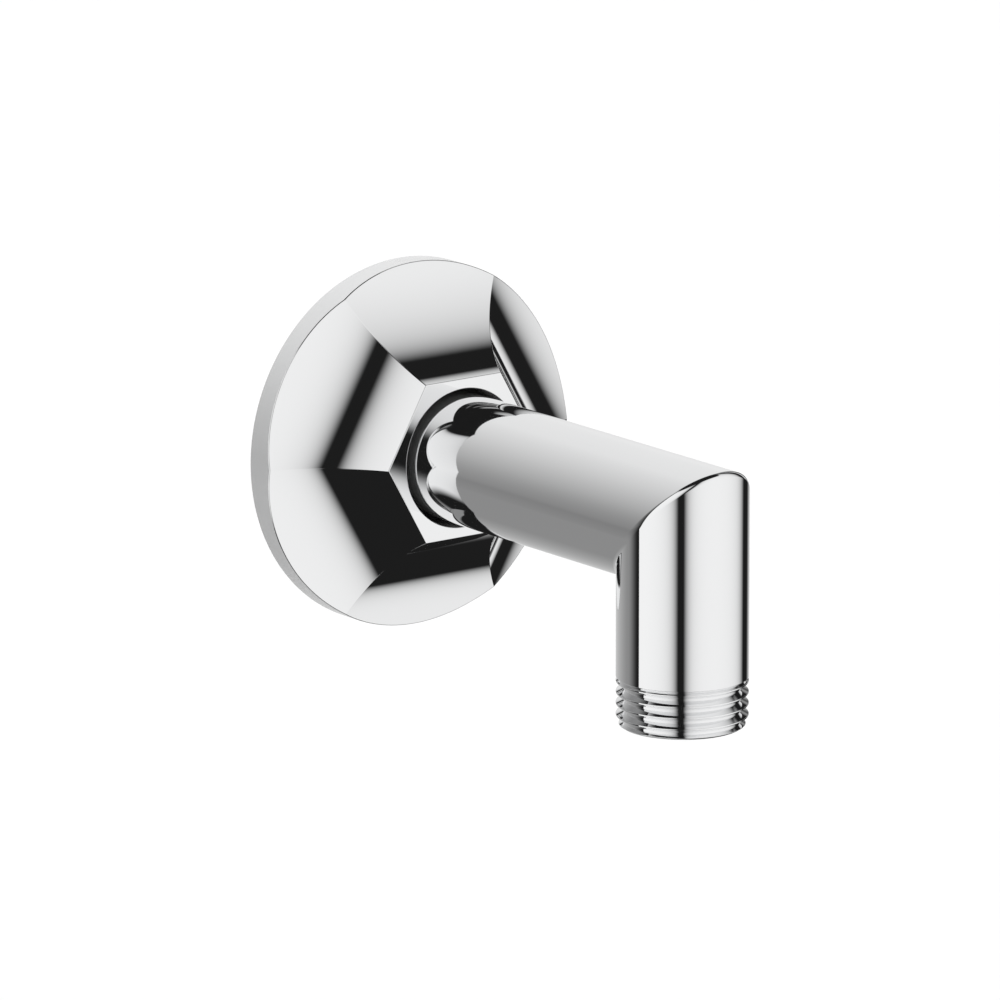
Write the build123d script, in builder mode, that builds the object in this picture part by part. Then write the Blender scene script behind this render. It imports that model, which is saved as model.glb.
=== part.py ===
from build123d import *
from math import cos, radians, sin
import os

# Wall outlet elbow. Millimetres, +Z up, the wall is the plane Y = 0 and the arm comes out along -Y.
# The origin is the centre of the rosette's back face. A height is a distance from the wall.

# G 1/2 male thread, modelled at its crest size
thread_r = 10.4775
thread_depth = 1.16

# Arm and outlet: one tube size, polished down almost to the thread's crests
pipe_over_thread = 0.0225
pipe_wall = 4.0
outlet_reach = 73.9
outlet_drop = 32.0
arm_start = 5.0

# Outlet's end, from below: lead at the thread's root size, flank, thread, nick
lead_length = 1.3
lead_flank = 0.38
outlet_thread_length = 5.7
nick_width = 0.52
nick_depth = 0.25
end_chamfer = 0.3

# Rosette: a disc with six hollow-ground facets round a flat hexagon
facets = 6
rosette_r = 30.0
rim_height = 3.95
face_height = 16.9
scoop_r = 24.8
facet_wall = 1.6
rim_wall = 2.0
arm_gap = 0.88
face_land = 1.62
border_round = 0.2

# Hub behind the hexagon, with the groove for the rubber ring
hub_start = 8.4
hub_wall = 1.1
hub_groove_depth = 0.92
hub_groove_height = 10.7
hub_groove_width = 2.4

# Nipple and the arm's socket
socket_wall = 2.5
socket_depth = 21.0
spigot_length = 20.5
spigot_wall = 2.45
spigot_clearance = 0.05
nut_set_off = 0.5
nut_shoulder = 0.5225
wall_thread_length = 13.2

# O-rings and their grooves on the nipple
seal_groove_depth = 1.2
seal_groove_width = 2.2
seal_spacing = 4.4
seal_end_land = 2.0
rubber_gap = 0.03
rubber_side_gap = 0.2

# Headless screw in the arm's underside
screw_r = 2.0
screw_set_back = 4.0
screw_sink = 0.3
screw_groove_depth = 1.0
screw_key_flats = 2.0
screw_key_depth = 1.6
seat_gap = 0.05

# Radii, from the thread outwards and inwards
pipe_r = thread_r + pipe_over_thread
water_r = pipe_r - pipe_wall
socket_r = pipe_r - socket_wall
spigot_r = socket_r - spigot_clearance
nipple_bore_r = spigot_r - spigot_wall
seal_groove_r = spigot_r - seal_groove_depth
screw_groove_r = spigot_r - screw_groove_depth
nut_flats_r = thread_r + nut_shoulder
hole_r = pipe_r + arm_gap
hexagon_apothem = hole_r + face_land
hub_groove_r = hole_r + hub_groove_depth
hub_r = hub_groove_r + hub_wall

# Heights
nipple_end = arm_start + spigot_length
screw_height = arm_start + screw_set_back
front_seal_height = nipple_end - seal_end_land - seal_groove_width / 2
seal_heights = [front_seal_height, front_seal_height - seal_spacing]
thread_start = lead_length + lead_flank
nick_start = thread_start + outlet_thread_length
nick_end = nick_start + nick_width

# Planes across the arm, and half-section planes with the radius as x and the height as y
arm_plane = Plane(origin=(0, 0, 0), x_dir=(1, 0, 0), z_dir=(0, -1, 0))
arm_section = Plane(origin=(0, 0, 0), x_dir=(0, 0, 1), z_dir=(1, 0, 0))
outlet_plane = Plane(origin=(0, -outlet_reach, -outlet_drop), x_dir=(1, 0, 0), z_dir=(0, 0, 1))
outlet_section = Plane(origin=(0, -outlet_reach, -outlet_drop), x_dir=(0, -1, 0), z_dir=(-1, 0, 0))
mitre_plane = Plane(origin=(0, -outlet_reach, 0), x_dir=(1, 0, 0), z_dir=(0, 1, 1))
screw_plane = Plane(origin=(0, -screw_height, 0), x_dir=(1, 0, 0), z_dir=(0, 0, -1))
arm_axis = Axis((0, 0, 0), (0, -1, 0))
outlet_axis = Axis((0, -outlet_reach, 0), (0, 0, 1))


def turn_outlet_end():
    """Turn the tube down to its lead and thread, and cut the nick behind them."""
    outside_r = pipe_r + thread_depth
    with BuildSketch(outlet_section) as waste:
        Polygon(
            (thread_r - thread_depth, 0),
            (thread_r - thread_depth, lead_length),
            (thread_r, thread_start),
            (thread_r, nick_start),
            (thread_r - nick_depth, nick_start + nick_width / 3),
            (pipe_r, nick_end),
            (outside_r, nick_end),
            (outside_r, 0),
            align=None,
        )
    revolve(waste.sketch, axis=outlet_axis, mode=Mode.SUBTRACT)


def cut_ring_groove(height, width, inner_r, outer_r):
    """Cut a square groove round the arm's axis, from one radius to another."""
    with BuildSketch(arm_section) as groove:
        with Locations((inner_r, height)):
            Rectangle(outer_r - inner_r, width, align=(Align.MIN, Align.CENTER))
    revolve(groove.sketch, axis=arm_axis, mode=Mode.SUBTRACT)


def scooped_disc(disc_r, height, radius):
    """A disc whose upper side is cut by one round scoop along each side of the hexagon."""
    turns = [radians((facet + 0.5) * 360 / facets) for facet in range(facets)]
    facet_planes = [
        Plane(origin=(0, 0, 0), x_dir=(cos(turn), 0, sin(turn)), z_dir=(sin(turn), 0, -cos(turn)))
        for turn in turns
    ]
    with BuildPart() as disc:
        with BuildSketch(arm_plane):
            Circle(disc_r)
        extrude(amount=height)
        with BuildSketch(*facet_planes):
            with Locations(scoop_centre):
                Circle(radius)
        extrude(amount=disc_r, both=True, mode=Mode.SUBTRACT)
    return disc.part


def tube_run(start_plane, length, kept_side):
    """A tube that is cut off by the mitre plane."""
    with BuildPart() as run:
        with BuildSketch(start_plane):
            Circle(pipe_r)
            Circle(water_r, mode=Mode.SUBTRACT)
        extrude(amount=length + pipe_r)
        split(bisect_by=mitre_plane, keep=kept_side)
    return run.part


def rubber_ring(inner_r, outer_r, width, height):
    """A rubber ring squeezed flat between two round walls, its sides still bulging."""
    half_thickness = (outer_r - inner_r) / 2 - rubber_gap
    half_width = width / 2 - rubber_side_gap
    with BuildPart() as ring:
        with BuildSketch(arm_section):
            with Locations(((inner_r + outer_r) / 2, height)):
                Polygon(
                    (-half_thickness, -half_width / 2),
                    (0, -half_width),
                    (half_thickness, -half_width / 2),
                    (half_thickness, half_width / 2),
                    (0, half_width),
                    (-half_thickness, half_width / 2),
                )
        revolve(axis=arm_axis)
    return ring.part


# Each scoop's arc falls from the hexagon's side to the rim
scoop_arc = RadiusArc((rosette_r, rim_height), (hexagon_apothem, face_height), scoop_r)
scoop_centre = scoop_arc.arc_center

# Rosette: the scooped disc, hollow from the back, with a hub round the arm
with BuildPart() as rosette:
    add(scooped_disc(rosette_r, face_height, scoop_r))
    add(
        scooped_disc(rosette_r - rim_wall, face_height - facet_wall, scoop_r + facet_wall),
        mode=Mode.SUBTRACT,
    )
    with BuildSketch(arm_plane.offset(hub_start)):
        Circle(hub_r)
    extrude(amount=face_height - facet_wall - hub_start)
    with BuildSketch(arm_plane):
        Circle(hole_r)
    extrude(amount=face_height, mode=Mode.SUBTRACT)
    cut_ring_groove(hub_groove_height, hub_groove_width, hole_r, hub_groove_r)
    # the hexagon's border is polished round and the hole's edge is broken
    face_edges = rosette.faces().sort_by(Axis.Y)[0].edges()
    chamfer(face_edges.filter_by(GeomType.CIRCLE), border_round)
    fillet(rosette.faces().sort_by(Axis.Y)[0].edges().filter_by(GeomType.LINE), border_round)
rosette.part.label = "rosette"

# Elbow: two equal tubes that meet in a mitre
with BuildPart() as elbow_body:
    add(tube_run(arm_plane.offset(arm_start), outlet_reach - arm_start, Keep.TOP))
    add(tube_run(outlet_plane, outlet_drop, Keep.BOTTOM))
    # socket for the nipple and the screw's hole
    with BuildSketch(arm_plane.offset(arm_start)):
        Circle(socket_r)
    extrude(amount=socket_depth, mode=Mode.SUBTRACT)
    with BuildSketch(screw_plane):
        Circle(screw_r + seat_gap)
    extrude(amount=2 * pipe_r, mode=Mode.SUBTRACT)
    turn_outlet_end()
    chamfer(elbow_body.faces().sort_by(Axis.Z)[0].edges(), end_chamfer)
elbow_body.part.label = "elbow_body"

# Nipple: wall thread at its crest size, spanner hexagon and the spigot that carries the arm
with BuildPart() as wall_nipple:
    with BuildSketch(arm_plane.offset(-wall_thread_length)):
        Circle(thread_r)
    extrude(amount=wall_thread_length + nut_set_off)
    chamfer(wall_nipple.faces().sort_by(Axis.Y)[-1].edges(), thread_depth)
    with BuildSketch(arm_plane.offset(nut_set_off)):
        RegularPolygon(nut_flats_r, 6, major_radius=False)
    extrude(amount=arm_start - nut_set_off)
    with BuildSketch(arm_plane.offset(arm_start)):
        Circle(spigot_r)
    extrude(amount=spigot_length)
    with BuildSketch(arm_plane.offset(-wall_thread_length)):
        Circle(nipple_bore_r)
    extrude(amount=wall_thread_length + nipple_end, mode=Mode.SUBTRACT)
    for seal_height in seal_heights:
        cut_ring_groove(seal_height, seal_groove_width, seal_groove_r, socket_r)
    cut_ring_groove(screw_height, 2 * (screw_r + seat_gap), screw_groove_r, socket_r)
wall_nipple.part.label = "wall_nipple"

# Two O-rings that seal the spigot in the arm's socket
with BuildPart() as nipple_seals:
    for seal_height in seal_heights:
        add(rubber_ring(seal_groove_r, socket_r, seal_groove_width, seal_height))
nipple_seals.part.label = "nipple_seals"

# Headless screw: its tip stands in the nipple's groove
with BuildPart() as fixing_screw:
    with BuildSketch(screw_plane.offset(screw_groove_r + seat_gap)):
        Circle(screw_r)
    extrude(amount=pipe_r - screw_sink - screw_groove_r - seat_gap)
    with BuildSketch(screw_plane.offset(pipe_r - screw_sink - screw_key_depth)):
        RegularPolygon(screw_key_flats / 2, 6, major_radius=False)
    extrude(amount=screw_key_depth, mode=Mode.SUBTRACT)
fixing_screw.part.label = "fixing_screw"

# Rubber ring that holds the rosette on the arm
with BuildPart() as rosette_ring:
    add(rubber_ring(pipe_r, hub_groove_r, hub_groove_width, hub_groove_height))
rosette_ring.part.label = "rosette_ring"

os.makedirs("parts", exist_ok=True)
export_step(rosette.part, "parts/rosette.step")
export_step(elbow_body.part, "parts/elbow_body.step")
export_step(wall_nipple.part, "parts/wall_nipple.step")
export_step(nipple_seals.part, "parts/nipple_seals.step")
export_step(fixing_screw.part, "parts/fixing_screw.step")
export_step(rosette_ring.part, "parts/rosette_ring.step")
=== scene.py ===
from collections import namedtuple
from math import cos, floor, pi, radians, sin, sqrt, tan

import bpy
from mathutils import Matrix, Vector


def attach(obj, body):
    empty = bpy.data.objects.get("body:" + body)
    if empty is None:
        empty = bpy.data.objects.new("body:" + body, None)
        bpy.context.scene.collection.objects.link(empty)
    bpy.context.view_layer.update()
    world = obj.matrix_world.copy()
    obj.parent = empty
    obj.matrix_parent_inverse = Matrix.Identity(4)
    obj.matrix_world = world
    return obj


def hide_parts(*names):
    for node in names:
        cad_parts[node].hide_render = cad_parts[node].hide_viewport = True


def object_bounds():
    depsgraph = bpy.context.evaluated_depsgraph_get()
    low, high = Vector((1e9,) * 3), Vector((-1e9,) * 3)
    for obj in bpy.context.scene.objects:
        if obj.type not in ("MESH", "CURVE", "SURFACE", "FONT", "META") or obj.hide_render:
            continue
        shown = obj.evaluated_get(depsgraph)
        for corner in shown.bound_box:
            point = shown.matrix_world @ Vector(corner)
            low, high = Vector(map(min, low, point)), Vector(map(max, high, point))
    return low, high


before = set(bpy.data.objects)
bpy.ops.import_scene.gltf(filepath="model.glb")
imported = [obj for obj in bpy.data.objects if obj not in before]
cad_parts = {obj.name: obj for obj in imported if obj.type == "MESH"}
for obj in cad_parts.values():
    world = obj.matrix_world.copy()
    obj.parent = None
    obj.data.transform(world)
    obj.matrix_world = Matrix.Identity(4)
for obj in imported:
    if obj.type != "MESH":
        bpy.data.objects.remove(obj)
cad_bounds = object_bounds()

# Sizes in metres. The origin is on the wall, +Y goes into it, and a height is a distance from it.
mm = 0.001
wallward = Vector((0, 1, 0))
roomward = -wallward

# Elbow. At arm_ring, just in front of the rosette's face, the arm has one more ring of points.
pipe_r = 10.5 * mm
water_r = 6.5 * mm
reach = 73.9 * mm
drop = 32.0 * mm
arm_start = 5.0 * mm
arm_ring = 17.5 * mm
socket_r = 8.0 * mm
socket_end = 26.0 * mm
mitre_round = 0.8 * mm
end_chamfer = 0.3 * mm

# G 1/2 thread with flat crests and roots
thread_r = 10.4775 * mm
thread_depth = 1.16 * mm
thread_root_r = thread_r - thread_depth
thread_pitch = 1.814 * mm
crest_land = 0.2 * mm
root_land = 0.42 * mm
thread_flank = (thread_pitch - crest_land - root_land) / 2
thread_round = 0.05 * mm

# Outlet's end: its crests, the nick above them and the lead below, with heights above the arm's axis
outlet_crests = 4
nick_top = -24.27 * mm
nick_width = 0.62 * mm
nick_depth = 0.58 * mm
lead_r = 10.05 * mm
lead_chamfer = 0.4 * mm
lead_end = -32.23 * mm

# Rosette. Each facet is a scoop round a line that lies scoop_out from the axis and scoop_up from the wall.
sectors = 6
half_sector = pi / sectors
rosette_r = 30.0 * mm
face_height = 16.9 * mm
scoop_r = 24.8 * mm
scoop_out = 35.06 * mm
scoop_up = 28.23 * mm
edge_round = 0.22 * mm
hole_r = 11.38 * mm
hole_round = 0.2 * mm

# Centre lines of the rosette's rounded edges: along the rim, at its corners and along the hexagon
spine_rim = rosette_r - edge_round
rim_out = spine_rim * cos(half_sector)
face_up = (scoop_up - face_height + edge_round) / (scoop_r + edge_round)
face_out = scoop_out - (scoop_r + edge_round) * sqrt(1 - face_up ** 2)

# The rosette's hollow, whose roof is flat up to flat_out, and the hub with its ring groove
facet_wall = 1.6 * mm
rim_wall = 2.0 * mm
inner_r = rosette_r - rim_wall
roof_r = scoop_r + facet_wall
flat_out = scoop_out - sqrt(roof_r ** 2 - (scoop_up - face_height + facet_wall) ** 2)
hub_r = 13.4 * mm
hub_start = 8.4 * mm
ring_groove_r = 12.3 * mm
ring_groove_start = 9.5 * mm
ring_groove_end = 11.9 * mm

# Nipple. A spigot groove has its start, its end and its radius.
nut_start = 0.5 * mm
nut_flats_r = 11.0 * mm
nut_corner_r = 11.7 * mm
nut_lean = radians(30)
nipple_start = -13.2 * mm
nipple_end = 25.5 * mm
nipple_bore_r = 5.5 * mm
spigot_r = 7.95 * mm
spigot_grooves = (
    (6.95 * mm, 11.05 * mm, 6.95 * mm),
    (16.9 * mm, 19.1 * mm, 6.75 * mm),
    (21.3 * mm, 23.5 * mm, 6.75 * mm),
)
wall_crests = 7
wall_thread_top = -0.9 * mm

# Mesh steps
around = 240
sector_columns = 32
facet_rows = 28
cavity_rows = 24
round_steps = 6
corner_steps = 3
across_sector = [half_sector * (2 * column / sector_columns - 1) for column in range(sector_columns + 1)]


class Shell:
    """A closed mesh gathered from patches. Each corner of a face keeps the surface's true normal."""

    weld = 0.0001 * mm
    cell_shifts = (0.37, 0.87)

    def __init__(self):
        self.points = []
        self.numbers = {}
        self.faces = []
        self.normals = []

    def number(self, place):
        """A point's number. It is looked up in two shifted grids, as equal points may differ a little."""
        keys = [
            (shift, *(floor(value / self.weld + shift) for value in place))
            for shift in self.cell_shifts
        ]
        known = [self.numbers[key] for key in keys if key in self.numbers]
        if not known:
            known.append(len(self.points))
            self.points.append(place)
        for key in keys:
            self.numbers.setdefault(key, known[0])
        return known[0]

    def face(self, corners):
        """Add a face from (place, normal) corners. Its front follows the normals."""
        ring = {}
        for place, normal in corners:
            ring.setdefault(self.number(place), normal)
        order = list(ring)
        if len(order) < 3:
            return
        places = [self.points[number] for number in order]
        across = (places[2] - places[0]).cross(places[-1] - places[1])
        if across.dot(sum(ring.values(), Vector())) < 0:
            order.reverse()
        self.faces.append(order)
        self.normals.extend(ring[number] for number in order)

    def grid(self, rows, closed=False):
        """Fill the space between rows of equally many corners."""
        for first, second in zip(rows, rows[1:]):
            count = len(first)
            for index in range(count if closed else count - 1):
                following = (index + 1) % count
                self.face([first[index], first[following], second[following], second[index]])

    def build(self, name):
        mesh = bpy.data.meshes.new(name)
        mesh.from_pydata(self.points, [], self.faces)
        mesh.polygons.foreach_set("use_smooth", [True] * len(self.faces))
        mesh.normals_split_custom_set(self.normals)
        piece = bpy.data.objects.new(name, mesh)
        bpy.context.scene.collection.objects.link(piece)
        return piece


def fan(first, second, share):
    """The direction at a share of the way round from the first direction to the second."""
    same_way = radians(0.01)
    return first.slerp(second, share) if first.angle(second) > same_way else first.copy()


def rounded(centre, first, second):
    """One row of corners across a rounded edge of the rosette."""
    directions = [fan(first, second, step / round_steps) for step in range(round_steps + 1)]
    return [(centre + direction * edge_round, direction) for direction in directions]


def rounded_corner(shell, centre, first, second, third):
    """The piece of a ball where three rounded edges of the rosette meet."""
    rows = []
    for step in range(round_steps + 1):
        share = step / round_steps
        left = fan(first, third, share)
        right = fan(second, third, share)
        count = round_steps - step
        row = [fan(left, right, index / count) if count else third for index in range(count + 1)]
        rows.append([(centre + direction * edge_round, direction) for direction in row])
    for upper, lower in zip(rows, rows[1:]):
        for index in range(len(lower)):
            shell.face([upper[index], upper[index + 1], lower[index]])
        for index in range(len(lower) - 1):
            shell.face([upper[index + 1], lower[index + 1], lower[index]])


def turned_vector(vector, angle):
    along, across = cos(angle), sin(angle)
    return Vector((vector.x * along - vector.y * across, vector.x * across + vector.y * along))


def stations(outline, radius=0.0):
    """Points of a (radius, height) outline with their normals, its corners rounded where a radius is given.

    Material lies to the left of the outline's way. A rounding takes up a limited share of each side.
    """
    longest_share = 0.4
    marks = []
    for index, (out, up) in enumerate(outline):
        here = Vector((out, up))
        ways = []
        if index > 0:
            ways.append(here - Vector(outline[index - 1]))
        if index < len(outline) - 1:
            ways.append(Vector(outline[index + 1]) - here)
        normals = [Vector((way.y, -way.x)).normalized() for way in ways]
        if len(ways) == 1 or radius == 0:
            marks.extend((here, normal) for normal in normals)
            continue
        turn = normals[0].angle_signed(normals[1])
        reach_back = min(
            radius * abs(tan(turn / 2)), longest_share * ways[0].length, longest_share * ways[1].length,
        )
        side = 1 if turn < 0 else -1
        true_radius = reach_back / abs(tan(turn / 2))
        start = here - ways[0].normalized() * reach_back
        centre = start - normals[0] * true_radius * side
        for step in range(corner_steps + 1):
            normal = turned_vector(normals[0], -turn * step / corner_steps)
            marks.append((centre + normal * true_radius * side, normal))
    return marks


def revolve(shell, marks, angles, place):
    """Turn stations round an axis. place(out, up, angle) gives a point, and with True a direction."""
    rows = []
    for point, normal in marks:
        rows.append([
            (place(point.x, point.y, angle), place(normal.x, normal.y, angle, True))
            for angle in angles
        ])
    shell.grid(rows, closed=True)


def on_arm(out, up, angle, direction=False):
    """Round the arm's axis, up being the distance from the wall."""
    return Vector((out * sin(angle), -up, out * cos(angle)))


def on_outlet(out, up, angle, direction=False):
    """Round the outlet's axis, up being the height above the arm's axis."""
    back = 0 if direction else reach
    return Vector((out * sin(angle), -back - out * cos(angle), up))


def mitre_row(radius, bend_round, sweep, angles, side):
    """Corners all round the mitre's edge. The sweep leads over it, from the arm to the outlet."""
    row = []
    for angle in angles:
        across, over = sin(angle), cos(angle)
        place = Vector((
            radius * across,
            -reach - radius * over + bend_round * (1 - sin(sweep)),
            radius * over - bend_round * (1 - cos(sweep)),
        ))
        normal = Vector((across * (sin(sweep) + cos(sweep)), -over * sin(sweep), over * cos(sweep)))
        row.append((place, side * normal.normalized()))
    return row


def bend(shell, radius, arm_heights, outlet_height, bend_round, angles, side=1):
    """A tube along the arm and down the outlet, with the mitre's edge rounded alike all round."""
    rows = []
    for height in arm_heights:
        rows.append([(on_arm(radius, height, angle), side * on_arm(1, 0, angle)) for angle in angles])
    steps = round_steps if bend_round else 1
    for step in range(steps + 1):
        rows.append(mitre_row(radius, bend_round, pi / 2 * step / steps, angles, side))
    rows.append([
        (on_outlet(radius, outlet_height, angle), side * on_outlet(1, 0, angle, True))
        for angle in angles
    ])
    shell.grid(rows, closed=True)


def thread_outline(top, crests):
    """Crests and roots from the top crest's upper edge downwards, as (radius, height) points."""
    outline = []
    for crest in range(crests):
        start = top - crest * thread_pitch
        outline.append((thread_r, start))
        outline.append((thread_r, start - crest_land))
        outline.append((thread_root_r, start - crest_land - thread_flank))
        outline.append((thread_root_r, start - crest_land - thread_flank - root_land))
    return outline


def outlet_outline(water_start):
    """The outlet's end, from the waterway down and up again outside. The lead is a crest turned off."""
    end = [
        (pipe_r, nick_top + nick_width),
        (pipe_r, nick_top),
        (thread_r - nick_depth, nick_top - nick_width / 2),
    ]
    end += thread_outline(nick_top - nick_width, outlet_crests)
    root_end = end[-1][1]
    end += [
        (lead_r, root_end - (lead_r - thread_root_r) / thread_depth * thread_flank),
        (lead_r - lead_chamfer, lead_end),
        (water_r + end_chamfer, lead_end),
        (water_r, lead_end + end_chamfer),
        (water_r, water_start),
    ]
    end.reverse()
    return end


def make_elbow():
    shell = Shell()
    angles = [2 * pi * column / around for column in range(around)]
    water_start = -drop + 2 * end_chamfer
    # the last station only says which way the pipe goes on above the nick
    marks = stations(outlet_outline(water_start), thread_round)[:-1]
    revolve(shell, marks, angles, on_outlet)
    pipe_end = marks[-1][0].y
    bend(shell, pipe_r, (arm_start, arm_ring), pipe_end, mitre_round, angles)
    # waterway, socket and the arm's end inside the rosette
    bend(shell, water_r, (socket_end,), water_start, 0.0, angles, side=-1)
    socket = [
        (water_r, socket_end),
        (socket_r, socket_end),
        (socket_r, arm_start),
        (pipe_r, arm_start),
    ]
    revolve(shell, stations(socket), angles, on_arm)
    return shell.build("elbow_polished")


# Where a rounded edge's ball touches a facet: the point, the normal's two parts and the ball's height
Touch = namedtuple("Touch", "out height outward upward centre_height")


def touch_at(spine_out):
    """The touch of a ball whose centre is spine_out from the axis, along the facet's middle line."""
    outward = (scoop_out - spine_out) / (scoop_r + edge_round)
    upward = sqrt(1 - outward ** 2)
    return Touch(
        out=scoop_out - scoop_r * outward,
        height=scoop_up - scoop_r * upward,
        outward=outward,
        upward=upward,
        centre_height=scoop_up - (scoop_r + edge_round) * upward,
    )


def lifted(flat, height):
    """A point or direction from its part along the wall and its height above the wall."""
    return Vector((flat.x, -height, flat.y))


def flat_way(angle):
    return Vector((cos(angle), sin(angle)))


def on_wall(out, height, angle, direction=False):
    """Round the arm's axis, with the angle counted as for the facets."""
    return lifted(flat_way(angle) * out, height)


class Sector:
    """Directions along the wall for one facet and the ridge that follows it."""

    def __init__(self, number):
        self.middle = (2 * number + 1) * half_sector
        self.away = flat_way(self.middle)
        self.along = flat_way(self.middle + pi / 2)
        self.next_away = flat_way(self.middle + 2 * half_sector)
        self.ridge_way = flat_way(self.middle + half_sector)

    def normal(self, touch):
        return lifted(self.away * touch.outward, touch.upward)

    def next_normal(self, touch):
        return lifted(self.next_away * touch.outward, touch.upward)

    def facet_row(self, touch, width):
        """Corners across the facet. It is as wide there as its sector is at the distance called width."""
        normal = self.normal(touch)
        return [
            (lifted(self.away * touch.out + self.along * width * tan(angle), touch.height), normal)
            for angle in across_sector
        ]


def add_facet(shell, sector):
    """One facet between its two ridges, then out to the rim, and the ridge that follows it."""
    rows = []
    ridge_rows = []
    for row in range(facet_rows + 1):
        spine_out = face_out + (rim_out - face_out) * row / facet_rows
        touch = touch_at(spine_out)
        rows.append(sector.facet_row(touch, spine_out))
        centre = lifted(sector.ridge_way * spine_out / cos(half_sector), touch.centre_height)
        ridge_rows.append(rounded(centre, sector.normal(touch), sector.next_normal(touch)))
    for row in range(1, sector_columns // 2 + 1):
        rim_angle = half_sector * (1 - 2 * row / sector_columns)
        touch = touch_at(spine_rim * cos(rim_angle))
        rows.append(sector.facet_row(touch, spine_rim * sin(rim_angle) / tan(half_sector)))
    shell.grid(rows)
    shell.grid(ridge_rows)


def add_rim_edge(shell, sector):
    """The facet's rounded rim and its ridge's corner. Returns the wall's top as (angle, height) marks."""
    rows = []
    marks = []
    for angle in across_sector:
        touch = touch_at(spine_rim * cos(angle))
        radial = flat_way(sector.middle + angle)
        centre = lifted(radial * spine_rim, touch.centre_height)
        rows.append(rounded(centre, sector.normal(touch), lifted(radial, 0)))
        marks.append((sector.middle + angle, touch.centre_height))
    shell.grid(rows)
    touch = touch_at(rim_out)
    centre = lifted(sector.ridge_way * spine_rim, touch.centre_height)
    rounded_corner(
        shell, centre, sector.normal(touch), sector.next_normal(touch), lifted(sector.ridge_way, 0),
    )
    return marks[:-1]


def add_face_edge(shell, sector):
    """The hexagon's rounded side and its corner. Returns the face's border as (angle, distance) marks."""
    touch = touch_at(face_out)
    rows = []
    marks = []
    for angle in across_sector:
        side_point = sector.away * face_out + sector.along * face_out * tan(angle)
        rows.append(rounded(lifted(side_point, touch.centre_height), sector.normal(touch), roomward))
        marks.append((sector.middle + angle, face_out / cos(angle)))
    shell.grid(rows)
    centre = lifted(sector.ridge_way * face_out / cos(half_sector), touch.centre_height)
    rounded_corner(shell, centre, sector.normal(touch), sector.next_normal(touch), roomward)
    return marks[:-1]


def add_hole(shell, angles):
    """The hole with its ring groove, from its rounded mouth down to the hub's end."""
    hole = [
        (hole_r, face_height - hole_round),
        (hole_r, ring_groove_end),
        (ring_groove_r, ring_groove_end),
        (ring_groove_r, ring_groove_start),
        (hole_r, ring_groove_start),
        (hole_r, hub_start),
        (hub_r, hub_start),
    ]
    revolve(shell, stations(hole), angles, on_wall)
    mouth_rows = []
    for step in range(round_steps + 1):
        lean = pi / 2 * step / round_steps
        out = hole_r + hole_round * (1 - sin(lean))
        height = face_height - hole_round * (1 - cos(lean))
        mouth_rows.append([
            (on_wall(out, height, angle), on_wall(-sin(lean), cos(lean), angle)) for angle in angles
        ])
    shell.grid(mouth_rows, closed=True)


def cavity_height(out):
    """Height of the hollow's roof at a distance from the axis along a facet's middle line."""
    roof = scoop_up - sqrt(roof_r ** 2 - (scoop_out - out) ** 2)
    return min(roof, face_height - facet_wall)


def hollow_strips(sector, column):
    """Corners of the hollow above one radius: scooped roof, flat roof, rim's inner wall and hub's wall."""
    angle = sector.middle + column
    away = on_wall(1, 0, angle)

    def roof(out):
        return on_wall(out, cavity_height(out * cos(column)), angle)

    start = max(hub_r, flat_out / cos(column))
    scooped = []
    for row in range(cavity_rows + 1):
        out = start + (inner_r - start) * row / cavity_rows
        outward = (scoop_out - out * cos(column)) / roof_r
        scooped.append((roof(out), -lifted(sector.away * outward, sqrt(1 - outward ** 2))))
    return (
        scooped,
        [(roof(hub_r), wallward), (roof(start), wallward)],
        [(roof(inner_r), -away), (on_wall(inner_r, 0, angle), -away)],
        [(roof(hub_r), away), (on_wall(hub_r, hub_start, angle), away)],
    )


def make_rosette():
    shell = Shell()
    rim_marks = []
    face_marks = []
    for number in range(sectors):
        sector = Sector(number)
        add_facet(shell, sector)
        rim_marks += add_rim_edge(shell, sector)
        face_marks += add_face_edge(shell, sector)
    angles = [angle for angle, height in rim_marks]
    # flat hexagon round the hole
    border = [(on_wall(out, face_height, angle), roomward) for angle, out in face_marks]
    mouth = [(on_wall(hole_r + hole_round, face_height, angle), roomward) for angle in angles]
    shell.grid([border, mouth], closed=True)
    add_hole(shell, angles)
    # outer wall and back face
    rim = [(on_wall(rosette_r, height, angle), on_wall(1, 0, angle)) for angle, height in rim_marks]
    foot = [(on_wall(rosette_r, 0, angle), on_wall(1, 0, angle)) for angle in angles]
    shell.grid([rim, foot], closed=True)
    outer_foot = [(on_wall(rosette_r, 0, angle), wallward) for angle in angles]
    inner_foot = [(on_wall(inner_r, 0, angle), wallward) for angle in angles]
    shell.grid([outer_foot, inner_foot], closed=True)
    # hollow, sector by sector
    for number in range(sectors):
        sector = Sector(number)
        columns = [hollow_strips(sector, column) for column in across_sector]
        for strips in zip(*columns):
            shell.grid(list(zip(*strips)))
    return shell.build("rosette_polished")


def nut_strip(sector, column):
    """Corners along the nut above one radius, two for each of its surfaces. Its corners are turned."""
    angle = sector.middle + column
    side = lifted(sector.away, 0)
    out = nut_flats_r / cos(column)
    turned = min(out, nut_corner_r)
    sunk = (out - turned) * tan(nut_lean)
    low = on_wall(sin(nut_lean), -cos(nut_lean), angle)
    high = on_wall(sin(nut_lean), cos(nut_lean), angle)
    profile = (
        (thread_root_r, nut_start, wallward),
        (turned, nut_start, wallward),
        (turned, nut_start, low),
        (out, nut_start + sunk, low),
        (out, nut_start + sunk, side),
        (out, arm_start - sunk, side),
        (out, arm_start - sunk, high),
        (turned, arm_start, high),
        (turned, arm_start, roomward),
        (spigot_r, arm_start, roomward),
    )
    return [(on_wall(away, height, angle), normal) for away, height, normal in profile]


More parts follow.
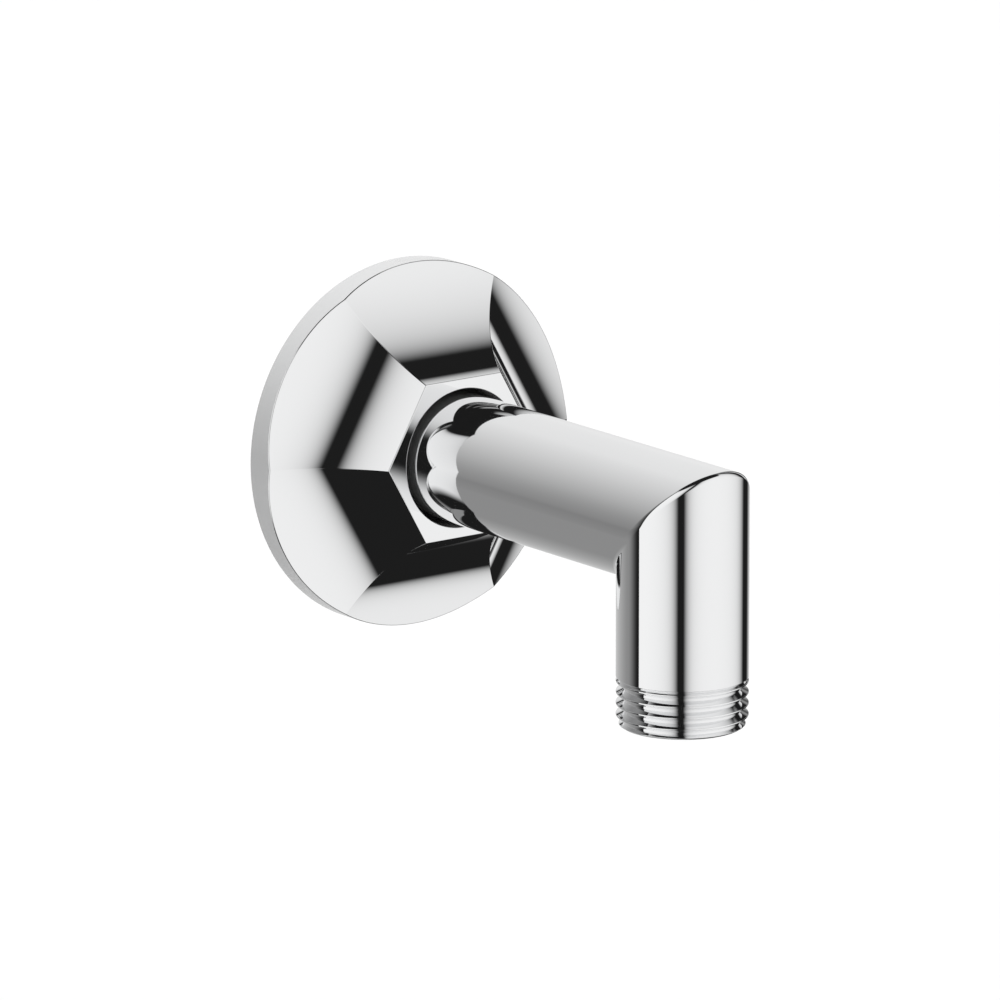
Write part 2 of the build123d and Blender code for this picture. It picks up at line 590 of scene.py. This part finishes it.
def add_nut(shell):
    """The spanner hexagon from the thread to the spigot."""
    for number in range(sectors):
        sector = Sector(number)
        rows = list(zip(*(nut_strip(sector, column) for column in across_sector)))
        for index in range(0, len(rows), 2):
            shell.grid(rows[index:index + 2])


def make_nipple():
    shell = Shell()
    columns = range(sectors * sector_columns)
    angles = [2 * half_sector * column / sector_columns for column in columns]
    add_nut(shell)
    # end and thread, walked away from the wall fitting
    shank = [(nipple_bore_r + end_chamfer, nipple_start), (thread_root_r, nipple_start)]
    shank += reversed(thread_outline(wall_thread_top, wall_crests)[:-2])
    shank += [(thread_root_r, wall_thread_top + thread_flank), (thread_root_r, nut_start)]
    revolve(shell, stations(shank, thread_round), angles, on_wall)
    # spigot with its grooves, then the bore back to the start
    spigot = [(spigot_r, arm_start)]
    for start, end, groove_r in spigot_grooves:
        spigot += [(spigot_r, start), (groove_r, start), (groove_r, end), (spigot_r, end)]
    spigot += [
        (spigot_r, nipple_end),
        (nipple_bore_r, nipple_end),
        (nipple_bore_r, nipple_start + end_chamfer),
        (nipple_bore_r + end_chamfer, nipple_start),
    ]
    revolve(shell, stations(spigot), angles, on_wall)
    return shell.build("nipple_turned")


class Nodes:
    """Short names for the nodes of one material or world."""

    def __init__(self, owner):
        owner.use_nodes = True
        self.tree = owner.node_tree
        self.tree.nodes.clear()

    def add(self, kind, **settings):
        node = self.tree.nodes.new(kind)
        for name, value in settings.items():
            setattr(node, name, value)
        return node

    def link(self, source, target):
        self.tree.links.new(source, target)

    def math(self, operation, *values, clamp=False):
        node = self.add("ShaderNodeMath", operation=operation, use_clamp=clamp)
        for socket, value in zip(node.inputs, values):
            if isinstance(value, (int, float)):
                socket.default_value = value
            else:
                self.link(value, socket)
        return node.outputs[0]

    def chain(self, operation, first, *others):
        """Join values one after the other with the same operation."""
        for other in others:
            first = self.math(operation, first, other)
        return first

    def plus(self, *values):
        return self.chain("ADD", *values)

    def times(self, *values):
        return self.chain("MULTIPLY", *values)

    def minus(self, value, other):
        return self.math("SUBTRACT", value, other)

    def line(self, value, slope, start):
        return self.math("MULTIPLY_ADD", value, slope, start)

    def ramp(self, value, start, end, low=0.0, high=1.0):
        """A smooth step from low at start to high at end."""
        node = self.add("ShaderNodeMapRange", interpolation_type="SMOOTHSTEP")
        self.link(value, node.inputs["Value"])
        node.inputs["From Min"].default_value = start
        node.inputs["From Max"].default_value = end
        node.inputs["To Min"].default_value = low
        node.inputs["To Max"].default_value = high
        return node.outputs["Result"]

    def axes(self, place):
        """The three parts of a vector."""
        parts = self.add("ShaderNodeSeparateXYZ")
        self.link(place, parts.inputs["Vector"])
        return [parts.outputs[axis] for axis in "XYZ"]


# A material under way, with its shader, the place on the piece, the noise over it and the colour
Surface = namedtuple("Surface", "material nodes shader place grain colour")


def new_surface(name, scale, detail, first, second):
    """A material whose colour wanders between two shades."""
    material = bpy.data.materials.new(name)
    nodes = Nodes(material)
    shader = nodes.add("ShaderNodeBsdfPrincipled")
    output = nodes.add("ShaderNodeOutputMaterial")
    nodes.link(shader.outputs["BSDF"], output.inputs["Surface"])
    place = nodes.add("ShaderNodeTexCoord").outputs["Object"]
    noise = nodes.add("ShaderNodeTexNoise")
    noise.inputs["Scale"].default_value = scale
    noise.inputs["Detail"].default_value = detail
    nodes.link(place, noise.inputs["Vector"])
    shade = nodes.add("ShaderNodeMix", data_type="RGBA")
    shade.inputs["A"].default_value = (*first, 1)
    shade.inputs["B"].default_value = (*second, 1)
    nodes.link(noise.outputs["Fac"], shade.inputs["Factor"])
    nodes.link(shade.outputs["Result"], shader.inputs["Base Color"])
    return Surface(material, nodes, shader, place, noise.outputs["Fac"], shade.outputs["Result"])


def grained_roughness(surface, low, high):
    """A roughness that follows the noise from low to high."""
    return surface.nodes.ramp(surface.grain, start=0.3, end=0.7, low=low, high=high)


def paint_rim_light_and_bore_shade(surface, rough):
    """Paint light on the rosette's turned rim by making it partly non-metal, so that its own colour
    brightens it. Paint shade into its bore by making it a matt grey non-metal that shows dark. Returns the
    roughness.
    """
    margin = 0.01 * mm
    # painted shade: the bore's grey colour, which stands in for the shade of the deep gap
    bore_shade_grey = 0.3
    # painted light: the share of metal taken from the rim, so that its diffuse colour lightens it
    rim_loss = 0.33
    added_roughness = 0.15
    nodes = surface.nodes
    x, _, z = nodes.axes(surface.place)
    out = nodes.math("SQRT", nodes.plus(nodes.times(x, x), nodes.times(z, z)))
    rim = nodes.math("GREATER_THAN", out, rosette_r - margin)
    bore = nodes.math("LESS_THAN", out, hole_r + margin)
    # painted shade in the bore
    bore_shade_mix = nodes.add("ShaderNodeMix", data_type="RGBA")
    bore_shade_mix.inputs["B"].default_value = (bore_shade_grey, bore_shade_grey, bore_shade_grey, 1)
    nodes.link(bore, bore_shade_mix.inputs["Factor"])
    nodes.link(surface.colour, bore_shade_mix.inputs["A"])
    nodes.link(bore_shade_mix.outputs["Result"], surface.shader.inputs["Base Color"])
    # painted light on the rim and painted shade in the bore, by taking metal away
    metallic = nodes.minus(nodes.line(rim, slope=-rim_loss, start=1), bore)
    nodes.link(metallic, surface.shader.inputs["Metallic"])
    return nodes.line(nodes.plus(rim, nodes.times(bore, 2)), slope=added_roughness, start=rough)


def metal(name, colour, roughness, variation, bump, scale, painted_rim_light_and_bore_shade=False):
    """A metal whose gloss varies a little over the surface."""
    gloss_spread = 0.2
    bump_depth = 0.02 * mm
    shade = [value * (1 - variation) for value in colour]
    surface = new_surface(name, scale, detail=3.0, first=colour, second=shade)
    nodes, shader = surface.nodes, surface.shader
    shader.inputs["Metallic"].default_value = 1.0
    rough = grained_roughness(
        surface, low=roughness * (1 - gloss_spread), high=roughness * (1 + gloss_spread),
    )
    # painted light on the rosette's rim and painted shade in its bore
    if painted_rim_light_and_bore_shade:
        rough = paint_rim_light_and_bore_shade(surface, rough)
    nodes.link(rough, shader.inputs["Roughness"])
    if bump:
        relief = nodes.add("ShaderNodeBump")
        relief.inputs["Strength"].default_value = bump
        relief.inputs["Distance"].default_value = bump_depth
        nodes.link(surface.grain, relief.inputs["Height"])
        nodes.link(relief.outputs["Normal"], shader.inputs["Normal"])
    return surface.material


def rubber_material():
    surface = new_surface(
        "rubber", scale=900.0, detail=2.0, first=(0.02, 0.02, 0.02), second=(0.035, 0.035, 0.036),
    )
    rough = grained_roughness(surface, low=0.5, high=0.65)
    surface.nodes.link(rough, surface.shader.inputs["Roughness"])
    return surface.material


class Studio(Nodes):
    """A white studio with dark panels, by direction alone: a turn of 0 degrees is in front of the wall.

    The panels stand near the part, so the outlet sees them further round than the rosette does.
    All that the outlet mirrors lies 14 degrees below the horizon, so the panels are shifted there.
    """

    def __init__(self, world):
        super().__init__(world)
        place = self.add("ShaderNodeTexCoord").outputs["Generated"]
        self.x, y, self.z = self.axes(place)
        self.turn = self.math("DEGREES", self.math("ARCTAN2", self.x, self.times(y, -1)))
        self.rise = self.math("DEGREES", self.math("ARCSINE", self.z))
        self.spread = self.math("ABSOLUTE", self.plus(self.rise, 14))
        self.outlet_band = self.ramp(self.spread, start=9, end=4)
        self.other_band = self.minus(1, self.outlet_band)

    def beside(self, offset, width, power):
        """Light at an offset in degrees past the soft edge of a dark panel."""
        ratio = self.math("POWER", self.math("DIVIDE", self.math("MAXIMUM", offset, 0), width), power)
        return self.math("DIVIDE", ratio, self.plus(ratio, 1))

    def left_panel(self):
        """Light on both sides of the upright dark panel on the left."""
        outer_edge = self.line(self.spread, slope=0.045, start=-45)
        inner_edge = self.line(self.spread, slope=0.078, start=-37)
        return self.plus(
            self.beside(self.minus(outer_edge, self.turn), width=8.34, power=1.75),
            self.beside(self.minus(self.turn, inner_edge), width=7.7, power=1.8),
        )

    def right_panel(self):
        """Light on both sides of the upright dark panel on the right."""
        near_edge = self.plus(
            84.5,
            self.ramp(self.rise, start=0, end=54, high=-1.5),
            self.ramp(self.rise, start=-14, end=-24, high=-1.5),
            self.times(self.outlet_band, 7.5),
        )
        near_width = self.plus(
            self.ramp(self.rise, start=5, end=50, low=11, high=17.7),
            self.ramp(self.rise, start=-30, end=-50, high=-2.2),
        )
        far_edge = self.plus(
            100.5,
            self.ramp(self.rise, start=0, end=54, high=5),
            self.ramp(self.rise, start=-24, end=-32, high=45),
            self.times(self.outlet_band, 6.5),
        )
        far_width = self.line(self.outlet_band, slope=11, start=5.3)
        return self.plus(
            self.beside(self.minus(near_edge, self.turn), near_width, power=1.7),
            self.beside(self.minus(self.turn, far_edge), far_width, power=1.9),
        )

    def screen(self):
        """Darkness of the screen behind the right panel, with a dim slit in it."""
        slit_turn = 126
        from_slit = self.math("ABSOLUTE", self.minus(self.turn, slit_turn))
        slit = self.times(
            self.ramp(from_slit, start=3, end=0),
            self.ramp(self.rise, start=-30, end=-10, low=0.1, high=0.28),
        )
        return self.times(
            self.ramp(self.turn, start=113.2, end=117.5),
            self.ramp(self.turn, start=140, end=136),
            self.other_band,
            self.minus(1, slit),
        )

    def front(self):
        """The light in front of the wall: panels, screen, ceiling, a dark patch low left and the ground."""
        brightness = 1.04
        screen = self.screen()
        ceiling_edge = self.ramp(self.turn, start=30, end=60, low=48, high=66)
        patch = self.times(
            self.ramp(self.rise, start=-36, end=-48),
            self.ramp(self.turn, start=-33.5, end=-36),
        )
        light = self.times(
            self.left_panel(),
            self.right_panel(),
            self.minus(1, screen),
            self.minus(1, patch),
            self.beside(self.minus(ceiling_edge, self.rise), width=2, power=2),
            self.ramp(self.rise, start=-62, end=-57),
        )
        return self.math("MULTIPLY", light, brightness, clamp=True)

    def rear(self):
        """The light behind the wall, which falls off towards the lower left."""
        darkest = 0.275
        brightest = 0.868
        ceiling_edge = 50
        light = self.line(self.plus(self.x, self.z), slope=0.39, start=0.5616)
        light = self.math("MINIMUM", self.math("MAXIMUM", light, darkest), brightest)
        left_end = self.ramp(self.line(self.other_band, slope=-4, start=self.turn), start=-122, end=-148)
        return self.times(
            light,
            self.math("MAXIMUM", left_end, self.ramp(self.turn, start=-119, end=-118)),
            self.beside(self.minus(ceiling_edge, self.rise), width=2, power=2),
        )

    def behind(self):
        """Whether a direction lies behind the wall, on either side."""
        right_turn = self.line(self.other_band, slope=16, start=self.turn)
        return self.math(
            "MAXIMUM",
            self.ramp(self.turn, start=-118.5, end=-119.5),
            self.ramp(right_turn, start=142, end=160),
        )


def studio_world():
    """The studio for reflections. The camera and matt surfaces see plain white."""
    darkest = 0.0135
    world = bpy.data.worlds.new("studio")
    bpy.context.scene.world = world
    studio = Studio(world)
    behind = studio.behind()
    level = studio.plus(
        studio.times(studio.front(), studio.minus(1, behind)),
        studio.times(studio.rear(), behind),
    )
    level = studio.line(level, slope=1 - darkest, start=darkest)
    path = studio.add("ShaderNodeLightPath")
    plain = [path.outputs[f"Is {kind} Ray"] for kind in ("Camera", "Diffuse", "Transmission")]
    level = studio.chain("MAXIMUM", level, *plain)
    background = studio.add("ShaderNodeBackground")
    studio.link(level, background.inputs["Color"])
    background.inputs["Strength"].default_value = 1.0
    output = studio.add("ShaderNodeOutputWorld")
    studio.link(background.outputs["Background"], output.inputs["Surface"])


def make_floor():
    """A white floor under the fitting. Reflections look past it into the studio."""
    half_side = 3.0
    below = 0.15
    camera_lift = 0.06
    level = cad_bounds[0].z - below
    corners = [
        (-half_side, -half_side, level),
        (half_side, -half_side, level),
        (half_side, half_side, level),
        (-half_side, half_side, level),
    ]
    mesh = bpy.data.meshes.new("floor")
    mesh.from_pydata(corners, [], [(0, 1, 2, 3)])
    piece = bpy.data.objects.new("floor", mesh)
    bpy.context.scene.collection.objects.link(piece)
    piece.visible_glossy = False
    material = bpy.data.materials.new("floor_white")
    nodes = Nodes(material)
    shader = nodes.add("ShaderNodeBsdfDiffuse")
    shader.inputs["Color"].default_value = (1, 1, 1, 1)
    # a little is added for the camera, so that the unshaded floor is just white
    path = nodes.add("ShaderNodeLightPath")
    lift = nodes.add("ShaderNodeEmission")
    nodes.link(nodes.times(path.outputs["Is Camera Ray"], camera_lift), lift.inputs["Strength"])
    both = nodes.add("ShaderNodeAddShader")
    nodes.link(shader.outputs["BSDF"], both.inputs[0])
    nodes.link(lift.outputs["Emission"], both.inputs[1])
    output = nodes.add("ShaderNodeOutputMaterial")
    nodes.link(both.outputs["Shader"], output.inputs["Surface"])
    mesh.materials.append(material)


def make_camera():
    azimuth = radians(-37.238)
    elevation = radians(13.671)
    distance = 1.9173
    target = Vector((-0.002644, -0.030, -0.004008))
    back = Vector((sin(azimuth) * cos(elevation), -cos(azimuth) * cos(elevation), sin(elevation)))
    data = bpy.data.cameras.new("camera")
    data.sensor_width = 36.0
    data.lens = 432.48
    data.clip_start = 0.1
    data.clip_end = 20.0
    camera = bpy.data.objects.new("camera", data)
    camera.location = target + back * distance
    camera.rotation_mode = "QUATERNION"
    camera.rotation_quaternion = (-back).to_track_quat("-Z", "Y")
    bpy.context.scene.collection.objects.link(camera)
    bpy.context.scene.camera = camera


def dress(piece, material):
    piece.data.materials.clear()
    piece.data.materials.append(material)


chrome_look = {
    "colour": (0.885, 0.888, 0.892), "roughness": 0.03, "variation": 0.01, "bump": 0.0, "scale": 60.0,
}
chrome = metal("chrome", **chrome_look)
# the rosette's chrome has painted light on its rim and painted shade in its bore
rosette_chrome = metal("rosette_chrome", **chrome_look, painted_rim_light_and_bore_shade=True)
brass = metal("brass", (0.78, 0.63, 0.36), roughness=0.22, variation=0.12, bump=0.3, scale=400.0)
steel = metal("steel", (0.62, 0.62, 0.62), roughness=0.25, variation=0.08, bump=0.3, scale=700.0)
rubber = rubber_material()

for builder, node, material, slot in (
    (make_rosette, "rosette", rosette_chrome, "chrome"),
    (make_elbow, "elbow_body", chrome, "chrome"),
    (make_nipple, "wall_nipple", brass, "brass"),
):
    piece = builder()
    dress(piece, material)
    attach(piece, "root")
    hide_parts(node)

for node, material in (
    ("nipple_seals", rubber),
    ("fixing_screw", steel),
    ("rosette_ring", rubber),
):
    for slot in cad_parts[node].material_slots:
        slot.material = material

studio_world()
make_floor()
make_camera()

scene = bpy.context.scene
scene.view_settings.view_transform = "Standard"
